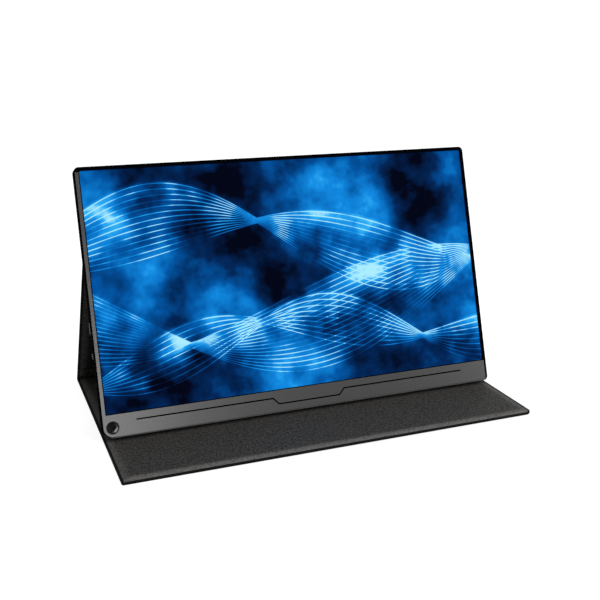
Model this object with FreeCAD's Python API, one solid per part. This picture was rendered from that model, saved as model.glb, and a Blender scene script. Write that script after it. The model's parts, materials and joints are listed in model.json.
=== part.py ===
import FreeCAD, Part
import math
import os

# A portable monitor leaning in its folding cover, in millimetres, +Z up, with the screen facing -Y.
# It is drawn lying open and flat: the flap at -Y of the spine fold, the rear panel at +Y, and the monitor
# face up on the rear and attach panels. Two folds then raise it into the standing pose.

# Standing pose
lean = 17.9                # degrees that the screen leans back from upright
shelf_depth = 72.0         # flap left free in front of the monitor's bottom edge
rest_gap = 0.3             # bottom edge clear of the seat that it rests in

# Folding cover
cover_margin = 0.5         # monitor beyond the cover at each side
flap_overhang = 2.0        # flap longer than the monitor is high
attach_height = 74.0       # rear fold to the attach panel's top edge
attach_margin = 2.0        # monitor above the attach panel
close_gap = 0.4            # play round the closed monitor, which the spine spans
skin = 0.8
stiffener = 1.2
lining = 0.8
attach_pad = 0.4           # bonding sheet between attach panel and monitor
edge_band = 5.6            # skins bonded to each other outside the stiffeners
hinge_band = 5.2           # the same beside a fold
crease_band = 5.2          # the same across the spine crease
slope_run = 2.4            # lining sloping down from a stiffener
shoulder = 0.5             # lining standing round the top of a stiffener
flap_corner = 3.0
panel_corner = 1.5
pad_corner = 2.0           # round of the lining over a stiffener's corners
fold_gap = 0.3             # running clearance round a rolled fold
seat_lead = 1.2            # channel between the flap's stiffeners in front of the bottom edge
seat_trail = 2.3           # and behind it
seat_pitch = 34.0          # to the second, steeper seat

# Magnets in the cover and the steel that they hold
attach_magnet_length = 50.0
attach_magnet_width = 8.0
attach_magnet_shares = (-0.38, -0.13, 0.13, 0.38)
keeper_margin = 3.0
keeper_sheet = 0.5
flap_magnet_length = 30.0
flap_magnet_width = 6.0
flap_magnet_inset = 4.0
flap_magnet_shares = (-0.32, 0.0, 0.32)

# Monitor housing, sized by the picture of a 15.6-inch panel
picture_width = 344.2
picture_height = 193.6
picture_left = 4.4         # housing beside the picture at left
picture_corner = 1.0
corner_radius = 4.0
back_round = 2.0
wall = 1.5
rear_wall = 1.2
rim = 0.6                  # front edge of the rear cover, round the bezel
seam = 0.1
edge_break = 0.25
bezel_plate = 1.0
bezel_lip = 0.6            # bezel beside the picture at top and right
surround_edge = 0.6        # dark surround beside the picture at left and bottom
surround_recess = 0.3

# Engraved line across the chin, dipping at the middle
line_width = 1.2
line_depth = 0.45
line_height = 12.3
line_dip = 5.2
line_margin = 27.5         # from the housing's sides
dip_half = 32.6
dip_run = 4.9              # sloping stretch at each end of the dip

# Pen hole through the lower left corner
pen_inset = 8.2            # hole's middle from both edges, and the corner's radius there
pen_radius = 4.3
liner_wall = 0.9
grommet_sheet = 0.6        # dark ring at the front of the hole
pen_clear = 1.8            # liner clear of the display glass above it

# Display stack, front to back
glass_sheet = 1.2
film_sheet = 0.4
guide_sheet = 0.6
reflector_sheet = 0.2
tray_sheet = 0.3
glass_margin = 1.1         # glass beyond the picture
bond_ledge = 4.0           # glass below the picture, where the tapes are bonded
tray_margin = 1.6
tray_side_gap = 0.3        # tray clear of the housing's walls
tray_top_gap = 0.1
guide_margin = 0.5
led_height = 1.0
tape_sheet = 0.2
tape_width = 22.0
tape_bond = 1.2
tape_lap = 3.0
tape_shares = (-0.38, -0.23, -0.08, 0.08, 0.23, 0.38)
strip_board_sheet = 0.6
strip_board_height = 10.0
strip_board_share = 0.86

# Boards and cables in the cavity behind the display
board_sheet = 0.8
board_drop = 0.7           # board face behind the sockets' middle
board_clear = 0.6
board_low = 34.0           # lower edge of both boards
main_board_width = 108.0
main_board_end = 15.0      # board above its last socket
post_radius = 2.4
post_inset = 5.0
shield_width = 42.0
shield_height = 32.0
shield_depth = 1.9
shield_sheet = 0.2
shield_inset = 16.0
button_board_width = 15.0
button_board_end = 12.0    # board above the power button
cable_sheet = 0.2
cable_width = 8.0
cable_lap = 4.0
cable_height = 72.0
display_cable_width = 16.0
display_cable_inset = 30.0

# Sockets, from the bottom edge upward
first_port = 10.0          # lowest socket at each side, above the boards' lower edges
usb_pitch = 16.0
hdmi_pitch = 19.0          # above the upper of the two round-ended sockets
port_gap = 0.1             # tallest socket clear of the display tray
port_fit = 0.15
mouth_recess = 0.3         # socket mouths behind the wall's face
socket_sheet = 0.3
usb_width = 8.9
usb_height = 3.2
usb_depth = 7.4
usb_tongue_width = 6.7
usb_tongue_height = 0.7
hdmi_width = 11.2
hdmi_height = 3.1
hdmi_depth = 7.6
hdmi_corner = 0.6
hdmi_tongue_width = 8.4
hdmi_tongue_height = 0.7
jack_body_height = 4.4
jack_clear = 0.6           # jack clear of the rear wall
jack_body_width = 6.2
jack_body_depth = 12.5
jack_nose_radius = 2.1
jack_bore_radius = 1.8
jack_bore_depth = 12.0

# Power button and menu wheel on the left side
power_pitch = 22.0         # above the menu wheel
power_length = 10.0
power_height = 2.4
power_proud = 0.4
power_flange = 0.6
power_flange_sheet = 0.5
power_travel = 0.4
button_fit = 0.2
switch_depth = 3.0
switch_width = 6.0
switch_plunger = 0.9
plunger_share = 0.35
wheel_pitch = 22.0         # above the headphone jack
wheel_radius = 5.4
wheel_sheet = 2.6
wheel_proud = 0.7
wheel_fit = 0.35
wheel_notch = 0.8
wheel_notches = 18
pin_radius = 0.75
pin_fit = 0.15
pin_boss_wall = 1.2        # rear cover's boss round the wheel's pin
wheel_switch_gap = 0.5

# Loudspeakers behind slots in the side walls
speaker_rise = 12.0        # above the button board
speaker_length = 36.0
speaker_width = 13.0
speaker_sheet = 4.0
speaker_frame = 1.5        # frame round the cone
speaker_cone_depth = 0.6
gasket_sheet = 0.6
slot_width = 1.4
slot_depth = 3.0
slot_pitch = 3.4
slot_count = 9

overrun = 1.0              # how far a cutting body runs past the face that it opens

# Sizes that follow from those above
glass_front = bezel_plate
film_front = glass_front + glass_sheet
guide_front = film_front + film_sheet
reflector_front = guide_front + guide_sheet
tray_front = reflector_front + reflector_sheet
tray_back = tray_front + tray_sheet
port_depth = tray_back + port_gap + jack_body_height / 2
board_front = port_depth + board_drop
board_back = board_front + board_sheet
cavity_back = port_depth + jack_body_height / 2 + jack_clear
body_depth = cavity_back + rear_wall
liner_radius = pen_radius + liner_wall
chin = pen_inset + liner_radius + pen_clear + bond_ledge
picture_top = chin + picture_height
body_width = picture_left + picture_width + tray_margin + tray_side_gap + wall
body_height = picture_top + tray_margin + tray_top_gap + wall
body_left = -body_width / 2
body_right = body_width / 2
body_corners = (pen_inset, corner_radius, corner_radius, corner_radius)
inner_left = body_left + wall
inner_right = body_right - wall
bezel_inset = rim + seam
picture_low_x = body_left + picture_left
picture_high_x = picture_low_x + picture_width
tray_low = chin - bond_ledge + tape_sheet
tray_corner = corner_radius - wall - tray_side_gap
pen_x = body_left + pen_inset

# Heights of what is at the sides
usb_low_height = board_low + first_port
usb_high_height = usb_low_height + usb_pitch
hdmi_place_height = usb_high_height + hdmi_pitch
main_board_high = hdmi_place_height + main_board_end
jack_place_height = board_low + first_port
wheel_place_height = jack_place_height + wheel_pitch
power_place_height = wheel_place_height + power_pitch
button_board_high = power_place_height + button_board_end
speaker_low = button_board_high + speaker_rise
wheel_x = body_left - wheel_proud + wheel_radius

# The cover round the monitor
cover_sheet = skin + stiffener + lining
cover_width = body_width - 2 * cover_margin
half_cover = cover_width / 2
flap_depth = body_height + flap_overhang
fold_height = body_height - attach_margin - attach_height
spine_width = body_depth + attach_pad + cover_sheet + close_gap
fold_z = cover_sheet / 2
roll_radius = cover_sheet / 2
fold_end = roll_radius + fold_gap
seat_floor = skin + lining

# The standing triangle: the seat and the lean place the rear fold, and that gives the rear panel's reach
lean_sin = math.sin(math.radians(lean))
lean_cos = math.cos(math.radians(lean))
edge_y = shelf_depth - flap_depth
edge_z = seat_floor + rest_gap + back_round * (1 - lean_cos) + (body_depth - back_round) * lean_sin
fold_depth = body_depth + attach_pad + cover_sheet / 2
rear_fold_y = edge_y + fold_height * lean_sin + fold_depth * lean_cos
rear_fold_z = edge_z + fold_height * lean_cos - fold_depth * lean_sin
panel_reach = math.hypot(rear_fold_y, rear_fold_z - fold_z)
spine_turn = 180 - math.degrees(math.atan2(rear_fold_z - fold_z, -rear_fold_y))
rear_turn = spine_turn - (90 - lean)
bottom_y = panel_reach - fold_height
front_z = cover_sheet + attach_pad + body_depth
centre_y = (flap_depth - roll_radius) / 2

X = FreeCAD.Vector(1, 0, 0)
Y = FreeCAD.Vector(0, 1, 0)
Z = FreeCAD.Vector(0, 0, 1)


def flat_point(x, y, z):
    return FreeCAD.Vector(x, y, z)


def face_point(x, v, w):
    # a place on the monitor: across, up from the bottom edge, and back from the front face
    return FreeCAD.Vector(x, bottom_y + v, front_z - w)


def rectangle(place, low_a, high_a, low_b, high_b, radii=0):
    # closed wire round a rectangle, with quarter-circle corners of one radius or of four,
    # which start at the low corner and go round
    if not isinstance(radii, tuple):
        radii = (radii,) * 4
    corners = ((low_a, low_b, 1, 1, 180), (high_a, low_b, -1, 1, 270),
               (high_a, high_b, -1, -1, 0), (low_a, high_b, 1, -1, 90))
    edges = []
    ends = []
    for (a, b, side_a, side_b, start), radius in zip(corners, radii):
        turns = [math.radians(start + turn) for turn in (0, 45, 90)]
        arc = [place(a + radius * (side_a + math.cos(turn)), b + radius * (side_b + math.sin(turn)))
               for turn in turns]
        if radius > 0:
            edges.append(Part.Arc(*arc).toShape())
        ends.append((arc[0], arc[2]))
    for here, after in zip(ends, ends[1:] + ends[:1]):
        if here[1].distanceToPoint(after[0]) > Part.Precision.confusion():
            edges.append(Part.makeLine(here[1], after[0]))
    return Part.Wire(Part.__sortEdges__(edges))


def inset(radii, distance):
    return tuple(radius - distance for radius in radii)


def sheet(low_x, high_x, low_y, high_y, low_z, high_z, radii=0):
    # plate of the flat cover
    wire = rectangle(lambda a, b: flat_point(a, b, low_z), low_x, high_x, low_y, high_y, radii)
    return Part.Face(wire).extrude(Z * (high_z - low_z))


def plate(low_x, high_x, low_v, high_v, front, back, radii=0):
    # plate of the monitor, between two depths behind its front face
    wire = rectangle(lambda a, b: face_point(a, b, back), low_x, high_x, low_v, high_v, radii)
    return Part.Face(wire).extrude(Z * (back - front))


def side_bar(low_x, high_x, middle_v, length, middle_w, height, radius=0):
    # bar along X whose rounded section is centred at a height and a depth of the monitor
    wire = rectangle(lambda a, b: face_point(low_x, a, b), middle_v - length / 2, middle_v + length / 2,
                     middle_w - height / 2, middle_w + height / 2, radius)
    return Part.Face(wire).extrude(X * (high_x - low_x))


def disc(x, v, front, back, radius):
    return Part.makeCylinder(radius, back - front, face_point(x, v, back), Z)


def fused(shapes):
    first, *others = shapes
    return first.multiFuse(others).removeSplitter() if others else first


def front_edges(shape):
    # edges lying in the monitor's front face
    level = front_z
    tolerance = Part.Precision.confusion()
    return [e for e in shape.Edges if all(abs(p.z - level) < tolerance for p in e.discretize(3))]


# Folding cover

def stiffener_pads(boards):
    # lining over each stiffener: a low frustum from the skin up to the full thickness
    pads = []
    for low_x, high_x, low_y, high_y in boards:
        base = rectangle(lambda a, b: flat_point(a, b, skin), low_x - slope_run, high_x + slope_run,
                         low_y - slope_run, high_y + slope_run, pad_corner + slope_run)
        top = rectangle(lambda a, b: flat_point(a, b, cover_sheet), low_x - shoulder, high_x + shoulder,
                        low_y - shoulder, high_y + shoulder, pad_corner + shoulder)
        pads.append(Part.makeLoft([base, top], True, True))
    return pads


def dressed_lining(low_y, high_y, boards):
    # the inner sheet, bonded to the skin at its edges and dressed over the stiffeners
    sole = sheet(-half_cover, half_cover, low_y, high_y, skin, seat_floor)
    bounds = sheet(-half_cover, half_cover, low_y, high_y, skin, cover_sheet)
    body = fused([sole] + stiffener_pads(boards)).common(bounds)
    return body.cut([board_blank(board) for board in boards])


def board_blank(board):
    return sheet(*board, skin, skin + stiffener)


def rolled_fold(y):
    return Part.makeCylinder(roll_radius, cover_width, flat_point(-half_cover, y, fold_z), X)


def board_rows(*rows):
    return [(edge_band - half_cover, half_cover - edge_band, low, high) for low, high in rows]


seat_low = edge_y - seat_lead
seat_high = edge_y + body_depth * lean_cos + seat_trail
flap_boards = board_rows((edge_band - flap_depth, seat_low - slope_run),
                         (seat_high + slope_run, seat_low + seat_pitch - slope_run),
                         (seat_high + seat_pitch + slope_run, -hinge_band))
rear_boards = board_rows((hinge_band, spine_width - crease_band / 2),
                         (spine_width + crease_band / 2, panel_reach - hinge_band))
attach_boards = board_rows((panel_reach + hinge_band, panel_reach + attach_height - edge_band))


def flap_magnet_bars():
    low_y = edge_band - flap_depth + flap_magnet_inset
    bars = []
    for share in flap_magnet_shares:
        middle = share * cover_width
        bars.append(sheet(middle - flap_magnet_length / 2, middle + flap_magnet_length / 2,
                          low_y, low_y + flap_magnet_width, skin, skin + stiffener))
    return bars


attach_middle_y = panel_reach + (hinge_band + attach_height - edge_band) / 2


def attach_magnet_bars():
    low_y = attach_middle_y - attach_magnet_width / 2
    bars = []
    for share in attach_magnet_shares:
        middle = share * cover_width
        bars.append(sheet(middle - attach_magnet_length / 2, middle + attach_magnet_length / 2,
                          low_y, low_y + attach_magnet_width, skin, skin + stiffener))
    return bars


def flap_skin():
    leaf = sheet(-half_cover, half_cover, -flap_depth, -roll_radius / 2, 0, skin)
    corners = sheet(-half_cover, half_cover, -flap_depth, flap_depth, 0, skin, flap_corner)
    return fused([leaf.common(corners), rolled_fold(0)])


def flap_lining():
    full = dressed_lining(-flap_depth, -fold_end, flap_boards)
    corners = sheet(-half_cover, half_cover, -flap_depth, flap_depth, skin, cover_sheet, flap_corner)
    return full.common(corners)


def rear_skin():
    return sheet(-half_cover, half_cover, fold_end, panel_reach - fold_end, 0, skin)


def rear_lining():
    return dressed_lining(fold_end, panel_reach - fold_end, rear_boards)


attach_top_y = panel_reach + attach_height


def attach_skin():
    leaf = sheet(-half_cover, half_cover, panel_reach + roll_radius / 2, attach_top_y, 0, skin)
    corners = sheet(-half_cover, half_cover, panel_reach - attach_height, attach_top_y, 0, skin,
                    panel_corner)
    return fused([leaf.common(corners), rolled_fold(panel_reach)])


def attach_lining():
    full = dressed_lining(panel_reach + fold_end, attach_top_y, attach_boards)
    corners = sheet(-half_cover, half_cover, panel_reach - attach_height, attach_top_y, skin, cover_sheet,
                    panel_corner)
    return full.common(corners)


def attach_sheet():
    low_x, high_x, low_y, high_y = attach_boards[0]
    return sheet(low_x, high_x, low_y, high_y, cover_sheet, cover_sheet + attach_pad, pad_corner)


# Monitor housing

bezel_left = body_left + bezel_inset
bezel_right = body_right - bezel_inset
opening_left = picture_low_x - surround_edge
opening_right = bezel_right - bezel_lip
opening_low = chin - surround_edge
opening_top = body_height - bezel_inset - bezel_lip
lip_corner = corner_radius - bezel_inset - bezel_lip
opening_corners = (0, 0, lip_corner, lip_corner)


def engraved_line():
    # band of even width along the line, its corners mitred
    half = line_width / 2
    mitre = half * math.tan(math.atan2(line_dip, dip_run) / 2)
    left = body_left + line_margin
    middle_line = [(left, line_height, 0), (-dip_half, line_height, mitre),
                   (dip_run - dip_half, line_height - line_dip, mitre)]
    above = [(a + shift, b + half) for a, b, shift in middle_line]
    below = [(a - shift, b - half) for a, b, shift in middle_line]
    rim_points = above + [(-a, b) for a, b in reversed(above)] + [(-a, b) for a, b in below] + below[::-1]
    points = [face_point(a, b, line_depth) for a, b in rim_points]
    return Part.Face(Part.makePolygon(points + points[:1])).extrude(Z * (line_depth + overrun))


def front_bezel():
    blank = plate(bezel_left, bezel_right, bezel_inset, body_height - bezel_inset, 0, bezel_plate,
                  inset(body_corners, bezel_inset))
    window = plate(opening_left, opening_right, opening_low, opening_top, -overrun, bezel_plate + overrun,
                   opening_corners)
    frame = blank.cut(window)
    frame = frame.makeChamfer(edge_break, front_edges(frame))
    hole = disc(pen_x, pen_inset, -overrun, bezel_plate + overrun, liner_radius)
    return frame.cut([hole, engraved_line()])


def screen_surround():
    outer = plate(opening_left, opening_right, opening_low, opening_top, surround_recess, bezel_plate,
                  opening_corners)
    inner = plate(picture_low_x, picture_high_x, chin, picture_top, 0, bezel_plate + overrun,
                  picture_corner)
    return outer.cut(inner)


def side_windows():
    # openings in the two side walls for sockets, buttons and sound
    left = (body_left - overrun, inner_left + overrun)
    right = (inner_right - overrun, body_right + overrun)
    cuts = []
    for height in (usb_low_height, usb_high_height):
        cuts.append(side_bar(*right, height, usb_width + 2 * port_fit, port_depth,
                             usb_height + 2 * port_fit, usb_height / 2))
    cuts.append(side_bar(*right, hdmi_place_height, hdmi_width + 2 * port_fit, port_depth,
                         hdmi_height + 2 * port_fit, hdmi_corner))
    cuts.append(Part.makeCylinder(jack_nose_radius + port_fit, wall + 2 * overrun,
                                  face_point(left[0], jack_place_height, port_depth), X))
    cuts.append(side_bar(*left, power_place_height, power_length + 2 * button_fit, port_depth,
                         power_height + 2 * button_fit, power_height / 2))
    chord = math.sqrt(wheel_radius ** 2 - (wheel_x - inner_left) ** 2)
    cuts.append(side_bar(*left, wheel_place_height, 2 * (chord + wheel_fit), port_depth,
                         wheel_sheet + 2 * wheel_fit))
    middle = speaker_low + speaker_length / 2
    for number in range(slot_count):
        height = middle + (number - (slot_count - 1) / 2) * slot_pitch
        for span in (left, right):
            cuts.append(side_bar(*span, height, slot_width, port_depth, slot_depth))
    return cuts


def rear_cover():
    # a shallow tray: outer block, rounded at the back, hollowed and stepped for the bezel
    block = plate(body_left, body_right, 0, body_height, 0, body_depth, body_corners)
    tolerance = Part.Precision.confusion()
    back_z = front_z - body_depth
    back = [e for e in block.Edges if all(abs(p.z - back_z) < tolerance for p in e.discretize(3))]
    block = block.makeFillet(back_round, back)
    block = block.makeChamfer(edge_break, front_edges(block))
    hollow = plate(inner_left, inner_right, wall, body_height - wall, -overrun, cavity_back,
                   inset(body_corners, wall))
    step = plate(body_left + rim, body_right - rim, rim, body_height - rim, -overrun, bezel_plate,
                 inset(body_corners, rim))
    shell = block.cut([hollow, step])
    posts = [disc(x, v, board_back, body_depth - rear_wall / 2, post_radius)
             for x, v in main_board_posts + button_board_posts]
    posts.append(disc(wheel_x, wheel_place_height, wheel_back + wheel_fit, body_depth - rear_wall / 2,
                      pin_radius + pin_boss_wall))
    hole = disc(pen_x, pen_inset, 0, body_depth + overrun, liner_radius)
    return fused([shell] + posts).cut(side_windows() + [hole, wheel_pin()])


def pen_tube(front, back):
    bore = disc(pen_x, pen_inset, front - overrun, back + overrun, pen_radius)
    return disc(pen_x, pen_inset, front, back, liner_radius).cut(bore)


def pen_hole_grommet():
    return pen_tube(0, grommet_sheet)


def pen_hole_liner():
    return pen_tube(grommet_sheet, body_depth)


# Display stack

def display_sheet(margin, low_v, front, thickness):
    # the stack's upper corners are cut round, to sit inside the housing's corners
    radius = tray_corner - tray_margin + margin
    return plate(picture_low_x - margin, picture_high_x + margin, low_v, picture_top + margin,
                 front, front + thickness, (0, 0, radius, radius))


def lcd_glass():
    return display_sheet(glass_margin, chin - bond_ledge, glass_front, glass_sheet)


guide_low = tray_low + tray_sheet + led_height


def optical_films():
    return display_sheet(guide_margin, guide_low, film_front, film_sheet)


def light_guide():
    return display_sheet(guide_margin, guide_low, guide_front, guide_sheet)


def reflector():
    return display_sheet(guide_margin, tray_low + tray_sheet, reflector_front, reflector_sheet)


def led_bar():
    return plate(picture_low_x, picture_high_x, tray_low + tray_sheet, guide_low,
                 guide_front, reflector_front)


def backlight_tray():
    lip = film_front + tape_sheet
    blank = display_sheet(tray_margin, tray_low, lip, tray_back - lip)
    hollow = display_sheet(tray_margin - tray_sheet, tray_low + tray_sheet, lip - overrun,
                           tray_front - lip + overrun)
    return blank.cut(hollow)


tape_turn = tray_low - 2 * tape_sheet
strip_front = tray_back + 2 * tape_sheet
tape_far = strip_front - tape_sheet
strip_low = tray_low + tape_sheet


def driver_tapes():
    # flexible tapes from the glass ledge round the tray's lower edge to the strip board: each section
    # has a flat start under the ledge, a half round and a flat end behind the tray
    near = film_front + tape_sheet
    middle = (film_front + strip_front) / 2
    outer = middle - film_front
    start_v = chin - bond_ledge + tape_bond
    end_v = strip_low + tape_lap
    tapes = []
    for share in tape_shares:
        left = share * picture_width - tape_width / 2

        def line(*ends):
            return Part.makeLine(*[face_point(left, *end) for end in ends])

        def arc(*stops):
            return Part.Arc(*[face_point(left, *stop) for stop in stops]).toShape()

        outside = [line((start_v, film_front), (tape_turn, film_front)),
                   arc((tape_turn, film_front), (tape_turn - outer, middle), (tape_turn, strip_front)),
                   line((tape_turn, strip_front), (end_v, strip_front))]
        inside = [line((end_v, tape_far), (tape_turn, tape_far)),
                  arc((tape_turn, tape_far), (tape_turn - outer + tape_sheet, middle), (tape_turn, near)),
                  line((tape_turn, near), (start_v, near))]
        far_end = line((end_v, strip_front), (end_v, tape_far))
        near_end = line((start_v, near), (start_v, film_front))
        wire = Part.Wire(outside + [far_end] + inside + [near_end])
        tapes.append(Part.Face(wire).extrude(X * tape_width))
    return Part.makeCompound(tapes)


def strip_board():
    half = strip_board_share * picture_width / 2
    return plate(-half, half, strip_low, strip_low + strip_board_height, strip_front,
                 strip_front + strip_board_sheet)


# Boards, sockets and cables

main_board_right = inner_right - board_clear
main_board_left = main_board_right - main_board_width
button_board_left = inner_left + board_clear
button_board_right = button_board_left + button_board_width
main_board_posts = [(x, v) for x in (main_board_left + post_inset, main_board_right - usb_depth - post_inset)
                    for v in (board_low + post_inset, main_board_high - post_inset)]
button_board_posts = [(button_board_right - post_inset / 2, v)
                      for v in (board_low + post_inset / 2, button_board_high - post_inset / 2)]


def usb_shell(height):
    return side_bar(body_right - mouth_recess - usb_depth, body_right - mouth_recess, height, usb_width,
                    port_depth, usb_height, usb_height / 2)


def usb_socket(height):
    # drawn shell, closed at the back, with its contact tongue
    mouth = body_right - mouth_recess
    bore = side_bar(mouth - usb_depth + socket_sheet, mouth + overrun, height, usb_width - 2 * socket_sheet,
                    port_depth, usb_height - 2 * socket_sheet, usb_height / 2 - socket_sheet)
    tongue = side_bar(mouth - usb_depth + socket_sheet / 2, mouth - 2 * socket_sheet, height,
                      usb_tongue_width, port_depth, usb_tongue_height)
    return fused([usb_shell(height).cut(bore), tongue])


def hdmi_shell():
    return side_bar(body_right - mouth_recess - hdmi_depth, body_right - mouth_recess, hdmi_place_height,
                    hdmi_width, port_depth, hdmi_height, hdmi_corner)


def hdmi_socket():
    mouth = body_right - mouth_recess
    bore = side_bar(mouth - hdmi_depth + socket_sheet, mouth + overrun, hdmi_place_height,
                    hdmi_width - 2 * socket_sheet, port_depth, hdmi_height - 2 * socket_sheet,
                    hdmi_corner - socket_sheet)
    tongue = side_bar(mouth - hdmi_depth + socket_sheet / 2, mouth - 2 * socket_sheet, hdmi_place_height,
                      hdmi_tongue_width, port_depth, hdmi_tongue_height)
    return fused([hdmi_shell().cut(bore), tongue])


def jack_block():
    return side_bar(inner_left, inner_left + jack_body_depth, jack_place_height, jack_body_width,
                    port_depth, jack_body_height)


def headphone_jack():
    mouth = body_left + mouth_recess
    nose = Part.makeCylinder(jack_nose_radius, inner_left - mouth + overrun,
                             face_point(mouth, jack_place_height, port_depth), X)
    bore = Part.makeCylinder(jack_bore_radius, jack_bore_depth + overrun,
                             face_point(mouth - overrun, jack_place_height, port_depth), X)
    return fused([jack_block(), nose]).cut(bore)


def main_board():
    board = plate(main_board_left, main_board_right, board_low, main_board_high, board_front, board_back)
    return board.cut([usb_shell(usb_low_height), usb_shell(usb_high_height), hdmi_shell()])


shield_left = main_board_left + shield_inset
shield_low = (board_low + main_board_high - shield_height) / 2


def board_shield():
    # drawn can, open towards the board
    can = plate(shield_left, shield_left + shield_width, shield_low, shield_low + shield_height,
                board_front - shield_depth, board_front)
    hollow = plate(shield_left + shield_sheet, shield_left + shield_width - shield_sheet,
                   shield_low + shield_sheet, shield_low + shield_height - shield_sheet,
                   board_front - shield_depth + shield_sheet, board_front + overrun)
    return can.cut(hollow)


def button_board():
    # cut away round the jack, the menu wheel and the power button
    board = plate(button_board_left, button_board_right, board_low, button_board_high,
                  board_front, board_back)
    well = disc(wheel_x, wheel_place_height, board_front - overrun, board_back + overrun,
                wheel_radius + wheel_fit)
    plunge = side_bar(button_board_left - overrun, power_switch_left, power_place_height,
                      power_length + 2 * power_flange + 2 * button_fit, port_depth,
                      2 * (board_back - port_depth) + overrun)
    return board.cut([jack_block(), well, plunge])


power_flange_back = inner_left + button_fit + power_flange_sheet
power_switch_left = power_flange_back + power_travel + button_fit + switch_plunger


def power_button():
    cap = side_bar(body_left - power_proud, power_flange_back, power_place_height, power_length, port_depth,
                   power_height, power_height / 2)
    flange = side_bar(power_flange_back - power_flange_sheet, power_flange_back, power_place_height,
                      power_length + 2 * power_flange, port_depth, power_height + 2 * power_flange)
    crown = [e for e in cap.Edges if e.BoundBox.XMax < body_left - power_proud + edge_break]
    return fused([cap.makeChamfer(edge_break, crown), flange])


def switch_block(left, height, front):
    # switch standing on the button board, up to a depth in front of it
    return side_bar(left, left + switch_depth, height, switch_width, (front + board_front) / 2,
                    board_front - front)


def power_switch():
    block = switch_block(power_switch_left, power_place_height, port_depth - power_height / 2)
    plunger = side_bar(power_switch_left - switch_plunger, power_switch_left, power_place_height,
                       plunger_share * switch_width, port_depth, plunger_share * power_height)
    return fused([block, plunger])


wheel_front = port_depth - wheel_sheet / 2
wheel_back = port_depth + wheel_sheet / 2


def menu_wheel():
    # a wheel with grip notches round its rim
    front = wheel_front - overrun
    back = wheel_back + overrun
    wheel = disc(wheel_x, wheel_place_height, wheel_front, wheel_back, wheel_radius)
    cuts = [disc(wheel_x, wheel_place_height, front, back, pin_radius + pin_fit)]
    axis = face_point(wheel_x, wheel_place_height, port_depth)
    half = wheel_notch / 2
    rim_x = wheel_x + wheel_radius
    for number in range(wheel_notches):
        notch = plate(rim_x - half, rim_x + half, wheel_place_height - half, wheel_place_height + half,
                      front, back)
        notch.rotate(notch.CenterOfMass, Z, 45)
        notch.rotate(axis, Z, 360 * (number + 0.5) / wheel_notches)
        cuts.append(notch)
    return wheel.cut(cuts)


def wheel_pin():
    # pressed into the rear cover's boss
    return disc(wheel_x, wheel_place_height, wheel_front - wheel_fit, cavity_back, pin_radius)


def wheel_switch():
    return switch_block(wheel_x + wheel_radius + wheel_switch_gap, wheel_place_height, wheel_front)


def link_cable():
    return plate(button_board_right - cable_lap, main_board_left + cable_lap, cable_height,
                 cable_height + cable_width, board_front - cable_sheet, board_front)


def display_cable():
    # flat cable stepping from the strip board's back to the main board's face
    left = main_board_left + display_cable_inset
    low = strip_low + strip_board_height - cable_lap
    near = strip_front + strip_board_sheet
    far = board_front - cable_sheet
    bend = strip_low + strip_board_height
    high = board_low + cable_lap
    front_line = [(low, near), (bend, near), (board_low, far), (high, far)]
    section = front_line + [(v, w + cable_sheet) for v, w in reversed(front_line)]
    points = [face_point(left, v, w) for v, w in section]
    return Part.Face(Part.makePolygon(points + points[:1])).extrude(X * display_cable_width)


# Loudspeakers

speaker_middle = speaker_low + speaker_length / 2
speaker_depth = tray_back + port_gap + speaker_sheet / 2


def sound_bar(side, near, far, length, height):
    # bar of a loudspeaker, between two distances inward from the inner face of its side wall
    ends = sorted((side * (inner_right - near), side * (inner_right - far)))
    return side_bar(*ends, speaker_middle, length, speaker_depth, height)


def sound_opening(side, near, far):
    return sound_bar(side, near, far, speaker_length - 2 * speaker_frame, slot_depth)


def speaker(side):
    # box speaker with a shallow cone recess towards the wall
    box = sound_bar(side, gasket_sheet, gasket_sheet + speaker_width, speaker_length, speaker_sheet)
    return box.cut(sound_opening(side, 0, gasket_sheet + speaker_cone_depth))


def speaker_gasket(side):
    ring = sound_bar(side, 0, gasket_sheet, speaker_length, speaker_sheet)
    return ring.cut(sound_opening(side, -overrun, gasket_sheet + overrun))


def keeper_plates():
    plates = []
    middle_v = attach_middle_y - bottom_y
    half_width = attach_magnet_length / 2 + keeper_margin
    half_height = attach_magnet_width / 2 + keeper_margin
    for share in attach_magnet_shares:
        middle = share * cover_width
        plates.append(plate(middle - half_width, middle + half_width, middle_v - half_height,
                            middle_v + half_height, cavity_back - keeper_sheet, cavity_back))
    return Part.makeCompound(plates)


# Sub-parts by moving body

flap_front_blank, flap_middle_blank, flap_rear_blank = [board_blank(board) for board in flap_boards]
spine_blank, rear_blank = [board_blank(board) for board in rear_boards]
attach_blank = board_blank(attach_boards[0])

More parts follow.
